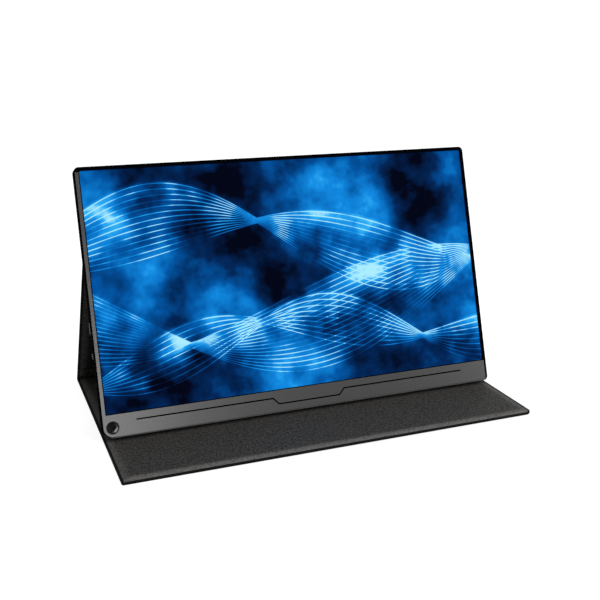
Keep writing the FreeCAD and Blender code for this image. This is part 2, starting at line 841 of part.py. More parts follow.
flap_pieces = {
    "flap_skin": flap_skin(),
    "flap_lining": flap_lining(),
    "flap_board_front": flap_front_blank.cut(flap_magnet_bars()),
    "flap_board_middle": flap_middle_blank,
    "flap_board_rear": flap_rear_blank,
    "flap_magnets": Part.makeCompound(flap_magnet_bars()),
}
rear_pieces = {
    "rear_panel_skin": rear_skin(),
    "rear_panel_lining": rear_lining(),
    "rear_panel_board": rear_blank,
    "spine_board": spine_blank,
}
display_pieces = {
    "attach_panel_skin": attach_skin(),
    "attach_panel_lining": attach_lining(),
    "attach_panel_board": attach_blank.cut(attach_magnet_bars()),
    "attach_magnets": Part.makeCompound(attach_magnet_bars()),
    "attach_bond": attach_sheet(),
    "front_bezel": front_bezel(),
    "screen_surround": screen_surround(),
    "rear_cover": rear_cover(),
    "pen_hole_grommet": pen_hole_grommet(),
    "pen_hole_liner": pen_hole_liner(),
    "lcd_glass": lcd_glass(),
    "optical_films": optical_films(),
    "light_guide": light_guide(),
    "reflector": reflector(),
    "led_bar": led_bar(),
    "backlight_tray": backlight_tray(),
    "driver_tapes": driver_tapes(),
    "strip_board": strip_board(),
    "main_board": main_board(),
    "board_shield": board_shield(),
    "usb_c_socket_lower": usb_socket(usb_low_height),
    "usb_c_socket_upper": usb_socket(usb_high_height),
    "mini_hdmi_socket": hdmi_socket(),
    "headphone_jack": headphone_jack(),
    "button_board": button_board(),
    "power_switch": power_switch(),
    "wheel_switch": wheel_switch(),
    "wheel_pin": wheel_pin(),
    "link_cable": link_cable(),
    "display_cable": display_cable(),
    "speaker_left": speaker(-1),
    "speaker_right": speaker(1),
    "speaker_gasket_left": speaker_gasket(-1),
    "speaker_gasket_right": speaker_gasket(1),
    "keeper_plates": keeper_plates(),
    "power_button": power_button(),
    "menu_wheel": menu_wheel(),
}

# Folding: the rear panel turns up at the spine fold, and the monitor with its attach panel
# turns back at the rear fold
settle = FreeCAD.Placement(flat_point(0, centre_y, 0), FreeCAD.Rotation())
spine_fold = FreeCAD.Placement(FreeCAD.Vector(), FreeCAD.Rotation(X, spine_turn), flat_point(0, 0, fold_z))
rear_fold = FreeCAD.Placement(FreeCAD.Vector(), FreeCAD.Rotation(X, -rear_turn),
                              flat_point(0, panel_reach, fold_z))
rear_place = settle.multiply(spine_fold)
display_place = rear_place.multiply(rear_fold)

os.makedirs("parts", exist_ok=True)
for place, pieces in ((settle, flap_pieces), (rear_place, rear_pieces), (display_place, display_pieces)):
    for name, shape in pieces.items():
        shape.Placement = place.multiply(shape.Placement)
        shape.exportStep(os.path.join("parts", name + ".step"))
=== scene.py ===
import json
import math
import bpy
import numpy as np
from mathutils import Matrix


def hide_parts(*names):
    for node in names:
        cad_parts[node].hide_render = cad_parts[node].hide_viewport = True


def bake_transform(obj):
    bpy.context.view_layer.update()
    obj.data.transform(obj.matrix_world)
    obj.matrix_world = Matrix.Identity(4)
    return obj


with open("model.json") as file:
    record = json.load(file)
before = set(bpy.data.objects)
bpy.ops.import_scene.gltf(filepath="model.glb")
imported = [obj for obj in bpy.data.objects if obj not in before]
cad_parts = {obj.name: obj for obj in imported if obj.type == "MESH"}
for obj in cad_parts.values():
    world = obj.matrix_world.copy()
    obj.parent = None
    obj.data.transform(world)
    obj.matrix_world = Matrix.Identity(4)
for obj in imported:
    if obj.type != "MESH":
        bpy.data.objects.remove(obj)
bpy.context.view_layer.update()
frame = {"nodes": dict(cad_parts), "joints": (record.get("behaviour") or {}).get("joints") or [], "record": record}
nodes = frame["nodes"]
joints = {joint["name"]: joint for joint in frame["joints"]}
mounts = {mount["name"]: mount for mount in frame["record"]["mounts"]}
print("frame:", len(nodes), "pieces of the part")


def nodePoints(name):  # corners of one piece of the part, a row each
    mesh = nodes[name].data
    flat = np.empty(len(mesh.vertices) * 3, np.float32)
    mesh.vertices.foreach_get("co", flat)
    return flat.reshape(-1, 3).astype(float)


def smooth(low, high, value):  # 0 below low, 1 above high, an S between
    share = np.clip((value - low) / (high - low), 0, 1)
    return share * share * (3 - 2 * share)


# directions: across the monitor, out of its screen and up its face
across = np.array([1.0, 0.0, 0.0])
faceOut = np.array(mounts["pen_hole"]["axis"])
faceUp = np.cross(faceOut, across)
housing = nodePoints("rear_cover")
faceLow = (housing @ faceUp).min()     # bottom edge of the monitor
faceHigh = (housing @ faceUp).max()
faceFront = (housing @ faceOut).max()  # front face of the monitor
faceRight = float(housing[:, 0].max())
faceTall = float(faceHigh - faceLow)


# node helpers
def startMaterial(name):
    material = bpy.data.materials.new(name)
    material.use_nodes = True
    tree = material.node_tree
    tree.nodes.clear()
    shader = tree.nodes.new("ShaderNodeBsdfPrincipled")
    end = tree.nodes.new("ShaderNodeOutputMaterial")
    tree.links.new(shader.outputs[0], end.inputs["Surface"])
    return material, tree, shader


def put(tree, socket, value):
    if isinstance(value, bpy.types.NodeSocket):
        tree.links.new(value, socket)
    else:
        socket.default_value = value


def add(tree, kind, inputs, **settings):
    node = tree.nodes.new("ShaderNode" + kind)
    for key, value in settings.items():
        setattr(node, key, value)
    for key, value in inputs.items():
        put(tree, node.inputs[key], value)
    return node


def calc(tree, how, *values):
    return add(tree, "Math", dict(enumerate(values)), operation=how).outputs[0]


def vector(tree, how, first, second):
    return add(tree, "VectorMath", {0: first, 1: second}, operation=how)


def ease(tree, low, high, value):  # S curve from 0 at low to 1 at high
    inputs = {"Value": value, "From Min": low, "From Max": high}
    return add(tree, "MapRange", inputs, interpolation_type="SMOOTHSTEP").outputs["Result"]


def spread(tree, low, high, value, newLow, newHigh):
    inputs = {"Value": value, "From Min": low, "From Max": high, "To Min": newLow, "To Max": newHigh}
    return add(tree, "MapRange", inputs).outputs["Result"]


def tint(tree, share, first, second):  # colour between two colours
    node = add(tree, "Mix", {}, data_type="RGBA")
    put(tree, node.inputs[0], share)
    put(tree, node.inputs[6], first)
    put(tree, node.inputs[7], second)
    return node.outputs[2]


def noise(tree, place, scale, detail=3.0, rough=0.5):
    inputs = {"Vector": place, "Scale": scale, "Detail": detail, "Roughness": rough}
    return add(tree, "TexNoise", inputs).outputs["Fac"]


def cells(tree, place, scale, feature="F1"):
    node = add(tree, "TexVoronoi", {"Vector": place, "Scale": scale}, feature=feature)
    return node.outputs["Distance"]


def bump(tree, height, depth, strength=1.0):
    inputs = {"Height": height, "Distance": depth, "Strength": strength}
    return add(tree, "Bump", inputs).outputs["Normal"]


def objectPlace(tree):
    return add(tree, "TexCoord", {}).outputs["Object"]


def facePlace(tree):  # across, up from the bottom edge, and back from the front face, in metres
    place = objectPlace(tree)
    side = add(tree, "SeparateXYZ", {0: place}).outputs[0]
    up = vector(tree, "DOT_PRODUCT", place, tuple(faceUp)).outputs["Value"]
    out = vector(tree, "DOT_PRODUCT", place, tuple(faceOut)).outputs["Value"]
    up = calc(tree, "SUBTRACT", up, float(faceLow))
    return side, up, calc(tree, "SUBTRACT", float(faceFront), out)


def grey(level):
    return (level, level, level, 1.0)


# leather of the cover: pebbled grain with fine creases, in metres along the flat sheet
leather = {
    "dark": (0.015, 0.0143, 0.0135, 1.0),
    "light": (0.047, 0.0449, 0.042, 1.0),
    "paintedHighlight": (0.14, 0.135, 0.128, 1.0),     # painted highlight along the border where the sheet slopes over a board's edge
    "cell": 0.0013,        # pebbles of the grain
    "finer": 2.3,          # small pebbles to a pebble's width
    "crease": 0.0045,      # between creases
    "mottle": 0.002,
    "soil": 0.02,          # broad clouds
    "warp": 0.006,         # noise that bends the grain, and how far
    "bend": (0.0009, 0.0009, 0.0),
    "depth": 0.0003,       # grain's relief
    "rough": 0.55,
    "shine": 0.06,
}


def leatherMaterial(name, size):
    material, tree, shader = startMaterial(name)
    flat = add(tree, "UVMap", {}, uv_map="flat").outputs[0]
    warp = add(tree, "TexNoise", {"Vector": flat, "Scale": 1 / size["warp"], "Detail": 2.0})
    moved = vector(tree, "MULTIPLY", warp.outputs["Color"], size["bend"]).outputs[0]
    place = vector(tree, "ADD", flat, moved).outputs[0]
    pebble = cells(tree, place, 1 / size["cell"], "SMOOTH_F1")
    small = cells(tree, place, size["finer"] / size["cell"])
    crease = cells(tree, place, 1 / size["crease"], "DISTANCE_TO_EDGE")
    folds = ease(tree, 0.0, 0.06, crease)
    soil = noise(tree, flat, 1 / size["soil"], 4.0, 0.6)
    mottle = noise(tree, flat, 1 / size["mottle"], 1.0)
    # height of the grain: pebbles rise from their rims, creases cut in, mottle swells
    grain = calc(tree, "MULTIPLY_ADD", small, -0.25, calc(tree, "MULTIPLY", pebble, -1.0))
    height = calc(tree, "MULTIPLY_ADD", folds, 0.25, grain)
    height = calc(tree, "MULTIPLY_ADD", mottle, 0.3, height)
    # colour follows the grain's height: grain tone, plus painted shade in the grooves and creases and painted
    # light on the pebble tops
    tone = calc(tree, "MULTIPLY_ADD", soil, 0.3, spread(tree, -0.8, 0.3, height, -0.35, 0.75))
    tone = calc(tree, "ADD", tone, spread(tree, 0.25, 0.75, mottle, -0.45, 0.5))
    # stretch is the painted highlight: a paler border along the cut ends and sides, mottled by the grain
    stretch = add(tree, "Attribute", {}, attribute_name="stretch").outputs["Fac"]
    stretch = calc(tree, "MULTIPLY", stretch, spread(tree, -0.8, 0.3, height, 0.2, 0.8))
    colour = tint(tree, tone, size["dark"], size["light"])
    put(tree, shader.inputs["Base Color"], tint(tree, stretch, colour, size["paintedHighlight"]))
    rough = spread(tree, -0.8, 0.5, height, size["rough"] + 0.15, size["rough"] - 0.06)
    put(tree, shader.inputs["Roughness"], rough)
    put(tree, shader.inputs["Normal"], bump(tree, height, size["depth"]))
    put(tree, shader.inputs["Specular IOR Level"], size["shine"])
    return material


moulded = {"cloud": 0.03, "shade": 0.8}    # size of dark patches, and their share of the colour


def mouldedMaterial(name, colour, rough=0.5, grain=0.0006, depth=0.00003, level=0.4):
    material, tree, shader = startMaterial(name)
    place = objectPlace(tree)
    fine = noise(tree, place, 1 / grain, 2.0)
    broad = noise(tree, place, 1 / moulded["cloud"], 3.0)
    darker = tuple(moulded["shade"] * channel for channel in colour) + (1.0,)
    put(tree, shader.inputs["Base Color"], tint(tree, broad, darker, tuple(colour) + (1.0,)))
    put(tree, shader.inputs["Roughness"], spread(tree, 0.3, 0.7, fine, rough - 0.06, rough + 0.06))
    put(tree, shader.inputs["Normal"], bump(tree, fine, depth, 0.5))
    put(tree, shader.inputs["Specular IOR Level"], level)
    return material


# the stand's lining is a darker copy of the flap's lining: painted shade for its place in shade
standShadeTones = {"dark": grey(0.002), "light": (0.024, 0.023, 0.022, 1.0)}
skinTones = {"dark": (0.006, 0.0057, 0.0053, 1.0), "light": (0.04, 0.0385, 0.037, 1.0),
             "cell": 0.0015}
linedLeather = leatherMaterial("lining_leather", leather)
standShadedLeather = leatherMaterial("stand_lining_painted_shade", {**leather, **standShadeTones})
skinLeather = leatherMaterial("skin_leather", {**leather, **skinTones})
edgePaint = mouldedMaterial("edge_paint", (0.002, 0.002, 0.002), 0.7, level=0.06)


# cover: flap, spine fold, rear panel, rear fold and attach panel on one path
spineAt = np.array(joints["spine_fold"]["pos_m"])
rearAt = np.array(joints["rear_fold"]["pos_m"])
foldLevel = spineAt[2]                 # fold axes above the outer face
flapWay = np.array([0.0, 1.0, 0.0])    # way of the path on each panel
panelReach = np.linalg.norm(rearAt - spineAt)
rearWay = (rearAt - spineAt) / panelReach
cover = {
    "sheet": 0.0008,       # skin and lining
    "rim": 0.00038,        # rounding of cut edges
    "freeSlope": (-0.0035, 0.0048),  # lining's slopes, from a board's edge out to a free edge
    "bandSlope": (0.0002, 0.0025),   # and down to a hinge band or seat
    "skinSlope": (0.0, 0.0018),
    "margin": 0.01,        # a board nearer to an end than this has a free edge there
    "edge": 0.002,         # painted strip along a cut edge
    "highlightReach": (0.0042, 0.0092),        # painted highlight's border, from full to none
    "highlightSideShare": 0.4,      # and how much of it along the sides
    "flapCorners": (0.0016, 0.0075),
    "panelCorners": (0.0015, 0.0015),
    "valley": 0.0006,      # hollow side of the rear fold
    "pinch": 0.0013,       # lining in the crook of the spine fold
    "crook": (0.0002, 0.0024),       # reach of the crook
    "dip": 0.00014,        # skin between two boards
    "wave": 0.00004,       # unevenness, a mix of slow waves
    "waveRates": ((131, 47), (-29, 173), (61, -89)),
    "line": 0.004,         # between mesh lines, and the lines' places beside a stop
    "graded": (0, 0.00008, 0.0002, 0.0004, 0.0007, 0.0011, 0.0016, 0.0021, 0.0026, 0.0032,
               0.0038, 0.0045, 0.0054),
    "closest": 0.00005,    # lines nearer than this are one
    "spineRows": 9,        # rows round each fold
    "rearRows": 7,
    "turnSpan": 0.0017,    # stretch on each side of a fold, kept in frontBend and rearBend, which nothing reads
}
flapPoints = nodePoints("flap_lining")
coverHalf = np.abs(flapPoints[:, 0]).max()
coverThick = flapPoints[:, 2].max()
bandThick = 2 * cover["sheet"]
flapStart = -((spineAt - flapPoints) @ flapWay).max()
panelEnd = panelReach + ((nodePoints("attach_panel_lining") - rearAt) @ faceUp).max()


def boardSpan(name, at, way, start):  # half width, and both ends along the path
    points = nodePoints(name)
    reach = (points - at) @ way + start
    return np.abs(points[:, 0]).max(), reach.min(), reach.max()


boards = {
    "flap_board_front": boardSpan("flap_board_front", spineAt, flapWay, 0),
    "flap_board_middle": boardSpan("flap_board_middle", spineAt, flapWay, 0),
    "flap_board_rear": boardSpan("flap_board_rear", spineAt, flapWay, 0),
    "spine_board": boardSpan("spine_board", spineAt, rearWay, 0),
    "rear_panel_board": boardSpan("rear_panel_board", spineAt, rearWay, 0),
    "attach_panel_board": boardSpan("attach_panel_board", rearAt, faceUp, panelReach),
}
creaseAt = (boards["spine_board"][2] + boards["rear_panel_board"][1]) / 2


def gradedLines(low, high, stops):  # even lines, closer together about each stop
    offsets = np.array(cover["graded"])
    count = max(2, int(round((high - low) / cover["line"])))
    lines = [np.linspace(low, high, count + 1)]
    lines += [stop + side * offsets for stop in stops for side in (1, -1)]
    lines = np.sort(np.concatenate(lines))
    lines = lines[(lines >= low) & (lines <= high)]
    lines = lines[np.concatenate([[True], np.diff(lines) > cover["closest"]])]
    lines[-1] = high
    return lines


# a stretch of the path gives each row's point on the outer face, way inward and place along
def flatRows(at, way, start, lines):
    inward = np.cross(across, way)
    base = at + np.outer(lines - start, way) - foldLevel * inward
    return base, np.repeat(inward[None], len(lines), 0), lines


def foldRows(centre, level, first, last, place, count):  # bend about a line at a level in the sheet
    turn = math.atan2(np.cross(first, last)[0], first @ last)
    angles = np.linspace(0, turn, count + 2)[1:-1, None]
    inward = first * np.cos(angles) + np.cross(across, first) * np.sin(angles)
    return centre - level * inward, inward, np.full(count, place)


def joinRows(*stretches):
    base, inward, place = (np.concatenate(parts) for parts in zip(*stretches))
    middle = base + cover["sheet"] * inward
    steps = np.linalg.norm(np.diff(middle, axis=0), axis=1)
    flow = np.concatenate([[0], np.cumsum(steps)])
    return {"base": base, "inward": inward, "place": place, "flow": flow}


def boardPad(x, place, freeSlope, bandSlope):  # 1 over the boards, falling to 0 beside them
    pad = np.zeros(np.broadcast(x, place).shape)
    for half, low, high in boards.values():
        lowSlope = freeSlope if low - flapStart < cover["margin"] else bandSlope
        highSlope = freeSlope if panelEnd - high < cover["margin"] else bandSlope
        side = 1 - smooth(*freeSlope, np.abs(x) - half)
        ends = (1 - smooth(*lowSlope, low - place)) * (1 - smooth(*highSlope, place - high))
        pad = np.maximum(pad, side * ends)
    return pad


def closedSheet(name, top, under, flat, toEdge, stretch):  # two grids of points joined round the rim
    rows, columns = top.shape[:2]
    count = rows * columns
    grid = np.arange(count).reshape(rows, columns)
    quads = np.stack([grid[:-1, :-1], grid[:-1, 1:], grid[1:, 1:], grid[1:, :-1]], -1).reshape(-1, 4)
    ring = np.concatenate([grid[0, :-1], grid[:-1, -1], grid[-1, :0:-1], grid[:0:-1, 0]])
    after = np.roll(ring, -1)
    rim = np.stack([ring, ring + count, after + count, after], -1)
    faces = np.concatenate([quads, quads[:, ::-1] + count, rim])
    mesh = bpy.data.meshes.new(name)
    mesh.vertices.add(2 * count)
    mesh.vertices.foreach_set("co", np.concatenate([top, under]).ravel())
    mesh.loops.add(faces.size)
    mesh.loops.foreach_set("vertex_index", faces.ravel().astype(np.int32))
    mesh.polygons.add(len(faces))
    mesh.polygons.foreach_set("loop_start", np.arange(0, faces.size, 4, dtype=np.int32))
    mesh.polygons.foreach_set("use_smooth", np.ones(len(faces), bool))
    near = np.concatenate([toEdge, toEdge]).ravel()[faces].min(1) < cover["edge"]
    mesh.polygons.foreach_set("material_index", near.astype(np.int32))
    mesh.update(calc_edges=True)
    both = np.concatenate([flat, flat]).reshape(-1, 2)
    mesh.uv_layers.new(name="flat").data.foreach_set("uv", both[faces.ravel()].ravel())
    # the stretch attribute carries the painted highlight's share
    highlightLayer = mesh.attributes.new("stretch", "FLOAT", "POINT")
    highlightLayer.data.foreach_set("value", np.tile(stretch.ravel(), 2))
    piece = bpy.data.objects.new(name, mesh)
    bpy.context.scene.collection.objects.link(piece)
    return piece


def coverSheet(name, path, lined, startCorners, endCorners):
    # rows run along the path and columns across it; each point is its row's outer face plus a
    # height along the row's inward way, and the height is that of a sheet dressed over the boards
    flow, place = path["flow"][:, None], path["place"][:, None]
    fromStart, fromEnd = flow, flow[-1] - flow
    boardSide = boards["flap_board_front"][0]
    sideStops = (-coverHalf, coverHalf, -boardSide, boardSide)
    lines = gradedLines(-coverHalf, coverHalf, sideStops)[None]
    left, right = np.full_like(flow, coverHalf), np.full_like(flow, coverHalf)
    for toEdge, corners in ((fromStart, startCorners), (fromEnd, endCorners)):
        for half, corner in zip((left, right), corners):
            inset = np.clip(corner - toEdge, 0, corner)
            np.minimum(half, coverHalf - corner + np.sqrt(corner ** 2 - inset ** 2), out=half)
    half = np.where(lines < 0, left, right)
    x = lines * half / coverHalf
    toEdge = np.minimum(np.minimum(fromStart, fromEnd), half - np.abs(x))
    rim = cover["rim"]
    drop = rim - np.sqrt(rim ** 2 - (rim - np.clip(toEdge, 0, rim)) ** 2)
    if lined:
        pad = boardPad(x, place, cover["freeSlope"], cover["bandSlope"])
        first, second, third = (np.sin(rate * x + slope * flow) for rate, slope in cover["waveRates"])
        ripple = (first * second + 0.6 * third) / 1.6
        level = bandThick + (coverThick - bandThick) * pad - cover["wave"] * pad * (1 + ripple)
        room = smooth(*cover["crook"], np.abs(place))
        level = np.minimum(level, cover["pinch"] + (coverThick - cover["pinch"]) * room)
        top = level - drop
        under = np.maximum(level - cover["sheet"], cover["sheet"]) + drop
    else:
        pad = boardPad(x, place, cover["skinSlope"], cover["skinSlope"])
        under = cover["dip"] * (1 - pad) + drop
        top = np.full_like(pad, cover["sheet"]) - drop
    base = path["base"][:, None] + x[..., None] * across
    topPoints = base + top[..., None] * path["inward"][:, None]
    underPoints = base + under[..., None] * path["inward"][:, None]
    flat = np.stack([x, np.broadcast_to(flow, x.shape)], -1)
    atCrease = fromEnd if startCorners[0] else fromStart   # the end that runs on has no cut edge
    cut = toEdge < atCrease
    painted = np.where(cut, toEdge, coverHalf)
    # painted highlight: a paler border along the cut ends, and less of it along the sides
    ends = 1 - smooth(*cover["highlightReach"], np.where(cut, np.minimum(fromStart, fromEnd), coverHalf))
    sides = cover["highlightSideShare"] * (1 - smooth(*cover["highlightReach"], half - np.abs(x)))
    stretch = np.maximum(ends, sides) * lined
    piece = closedSheet(name, topPoints, underPoints, flat, painted, stretch)
    # the stand's inside takes the darker painted-shade copy of the lining
    inside = linedLeather if startCorners[0] else standShadedLeather
    piece.data.materials.append(inside if lined else skinLeather)
    piece.data.materials.append(edgePaint)
    return piece, (2 * coverHalf, float(flow[-1, 0]))


# two stretches: from the flap's front edge to the crease of the spine, and on to the attach panel's top
flapInward, rearInward, attachInward = (np.cross(across, way) for way in (flapWay, rearWay, faceUp))
flapStops = [flapStart, 0]
flapStops += [end for name in boards if name.startswith("flap") for end in boards[name][1:]]
spineStops = [0, creaseAt, *boards["spine_board"][1:]]
frontPath = joinRows(
    flatRows(spineAt, flapWay, 0, gradedLines(flapStart, 0, flapStops)),
    foldRows(spineAt, foldLevel, flapInward, rearInward, 0, cover["spineRows"]),
    flatRows(spineAt, rearWay, 0, gradedLines(0, creaseAt, spineStops)),
)
rearTurn = math.acos(rearInward @ attachInward)
backOff = (foldLevel + cover["valley"]) * math.tan(rearTurn / 2)
valleyAt = rearAt - backOff * rearWay - (foldLevel + cover["valley"]) * rearInward
rearStops = [creaseAt, panelReach, *boards["rear_panel_board"][1:]]
attachStops = [panelReach, panelEnd, *boards["attach_panel_board"][1:]]
rearPath = joinRows(
    flatRows(spineAt, rearWay, 0, gradedLines(creaseAt, panelReach - backOff, rearStops)),
    foldRows(valleyAt, -cover["valley"], rearInward, attachInward, panelReach, cover["rearRows"]),
    flatRows(rearAt, faceUp, panelReach, gradedLines(panelReach + backOff, panelEnd, attachStops)),
)
turnSpan = cover["turnSpan"]
frontBend = (spineAt - turnSpan * flapWay, spineAt + turnSpan * rearWay)
rearBend = (rearAt - turnSpan * rearWay, rearAt + turnSpan * faceUp)
flapRun = (frontPath, (cover["flapCorners"], (0, 0)), ("flap", "rear_panel"), frontBend)
standRun = (rearPath, ((0, 0), cover["panelCorners"]), ("rear_panel", "display"), rearBend)
for name, lined, run, hides in (
    ("flap_outer_leather", False, flapRun, ("flap_skin",)),
    ("flap_inner_leather", True, flapRun, ("flap_lining",)),
    ("stand_outer_leather", False, standRun, ("rear_panel_skin", "attach_panel_skin")),
    ("stand_inner_leather", True, standRun, ("rear_panel_lining", "attach_panel_lining")),
):
    path, corners, bodies, bend = run
    piece, cut = coverSheet(name, path, lined, *corners)
    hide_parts(*hides)
    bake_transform(piece)
print("cover: flap and stand in leather")


# housing: satin metal-grey paint on the bezel, black where its top and right lips are
bezel = {
    "flake": 0.0004,
    "cloud": 0.05,
    "lip": (0.0042, 0.0038),         # black lips, from grey to black by the way to the edge
    "chinLip": (0.0024, 0.0019),     # right lip beside the chin
    "chin": (0.0185, 0.0190),        # top of the chin
    "groove": (0.00005, 0.00015),    # depth at which the engraved line is black
}


def bezelMaterial():
    material, tree, shader = startMaterial("bezel_paint")
    side, up, back = facePlace(tree)
    place = objectPlace(tree)
    flake = noise(tree, place, 1 / bezel["flake"], 1.0)
    cloud = noise(tree, place, 1 / bezel["cloud"], 3.0)
    lipRight = ease(tree, *(faceRight - reach for reach in bezel["lip"]), side)
    lipChin = ease(tree, *(faceRight - reach for reach in bezel["chinLip"]), side)
    lipTop = ease(tree, *(faceTall - reach for reach in bezel["lip"]), up)
    aboveChin = ease(tree, *bezel["chin"], up)
    lip = calc(tree, "MAXIMUM", lipTop, calc(tree, "MULTIPLY", lipRight, aboveChin))
    lip = calc(tree, "MAXIMUM", lip, lipChin)
    deep = ease(tree, *bezel["groove"], back)
    dark = calc(tree, "MAXIMUM", lip, deep)
    paint = tint(tree, flake, grey(0.044), grey(0.062))
    paint = tint(tree, calc(tree, "MULTIPLY", cloud, 0.3), paint, grey(0.051))
    put(tree, shader.inputs["Base Color"], tint(tree, dark, paint, grey(0.001)))
    put(tree, shader.inputs["Metallic"], spread(tree, 0.0, 1.0, dark, 0.6, 0.0))
    put(tree, shader.inputs["Roughness"], spread(tree, 0.3, 0.7, flake, 0.27, 0.35))
    put(tree, shader.inputs["Normal"], bump(tree, flake, 0.00002, 0.25))
    put(tree, shader.inputs["Specular IOR Level"], 0.0)
    return material


brushing = {"shade": 0.82}    # share of the colour in the dark strokes


def metalMaterial(name, colour, rough=0.3, stretch=(1.0, 1.0, 30.0), scale=2500.0):
    material, tree, shader = startMaterial(name)
    turned = vector(tree, "MULTIPLY", objectPlace(tree), stretch).outputs[0]
    brushed = noise(tree, turned, scale, 2.0)
    darker = tuple(brushing["shade"] * channel for channel in colour) + (1.0,)
    put(tree, shader.inputs["Base Color"], tint(tree, brushed, darker, tuple(colour) + (1.0,)))
    put(tree, shader.inputs["Metallic"], 1.0)
    put(tree, shader.inputs["Roughness"], spread(tree, 0.3, 0.7, brushed, rough - 0.06, rough + 0.08))
    put(tree, shader.inputs["Normal"], bump(tree, brushed, 0.00001, 0.3))
    return material


# near-black matt paint, black on the rim about the front, grey under the chin
rearPaint = {"rim": (0.0014, 0.0010), "chinUp": (0.0008, 0.0006), "chinBack": (0.0005, 0.0003),
             "fine": 0.0005, "broad": 0.06}


def rearMaterial():
    material, tree, shader = startMaterial("rear_cover_paint")
    side, up, back = facePlace(tree)
    place = objectPlace(tree)
    fine = noise(tree, place, 1 / rearPaint["fine"], 2.0)
    broad = noise(tree, place, 1 / rearPaint["broad"], 3.0)
    front = ease(tree, *rearPaint["rim"], back)
    low, near = ease(tree, *rearPaint["chinUp"], up), ease(tree, *rearPaint["chinBack"], back)
    chin = calc(tree, "MULTIPLY", low, near)
    paint = tint(tree, broad, grey(0.007), grey(0.010))
    paint = tint(tree, front, paint, grey(0.001))
    put(tree, shader.inputs["Base Color"], tint(tree, chin, paint, grey(0.09)))
    put(tree, shader.inputs["Roughness"], spread(tree, 0.3, 0.7, fine, 0.42, 0.54))
    put(tree, shader.inputs["Normal"], bump(tree, fine, 0.00003, 0.5))
    put(tree, shader.inputs["Specular IOR Level"], 0.0)
    return material


def boardMaterial(name, mask, trace):  # circuit board: solder mask over a maze of tracks
    material, tree, shader = startMaterial(name)
    place = objectPlace(tree)
    maze = add(tree, "TexBrick", {"Vector": place, "Scale": 180.0, "Mortar Size": 0.05}).outputs["Fac"]
    pads = ease(tree, 0.1, 0.16, cells(tree, place, 260.0))
    line = calc(tree, "MAXIMUM", maze, calc(tree, "SUBTRACT", 1.0, pads))
    put(tree, shader.inputs["Base Color"], tint(tree, line, mask + (1.0,), trace + (1.0,)))
    put(tree, shader.inputs["Roughness"], spread(tree, 0.0, 1.0, line, 0.45, 0.3))
    put(tree, shader.inputs["Normal"], bump(tree, line, 0.00004, 0.6))
    return material


# picture: sheaves of fine light lines that twist and pinch over blue haze
# a sheaf's middle is level + sway sin(rate X + turn), its half height grows and shrinks as another sine
sheaves = (
    {"level": 0.64, "sway": 0.15, "rate": 2.6, "turn": 0.5, "tall": 0.15, "beat": 3.1, "start": 0.9,
     "lines": 13.0, "bright": 0.62},
    {"level": 0.40, "sway": 0.17, "rate": 2.1, "turn": 3.4, "tall": 0.19, "beat": 2.2, "start": 2.3,
     "lines": 17.0, "bright": 0.5},
    {"level": 0.22, "sway": 0.10, "rate": 3.3, "turn": 5.2, "tall": 0.11, "beat": 4.2, "start": 0.2,
     "lines": 9.0, "bright": 0.55},
)
pictureColours = {  # by brightness
    0.0: (0.0, 0.001, 0.008),
    0.25: (0.0, 0.02, 0.1),
    0.5: (0.0, 0.09, 0.36),
    0.75: (0.005, 0.25, 0.75),
    0.9: (0.03, 0.45, 0.95),
    1.0: (0.4, 0.85, 1.0),
}
picture = {
    "broad": 1.9,          # clouds to the picture's height, and how much light they give
    "broadLight": 0.7,
    "smoke": 7.0,
    "smokeLight": (-0.24, 0.18),
    "line": (0.0030, 0.0006),        # a light line's half width, from none to full
    "waist": 0.012,        # half height of a sheaf where it pinches
    "veil": 0.35,          # glow about a sheaf
    "silk": 0.5,           # sheen toward its upper edge
    "fine": 900.0,
}


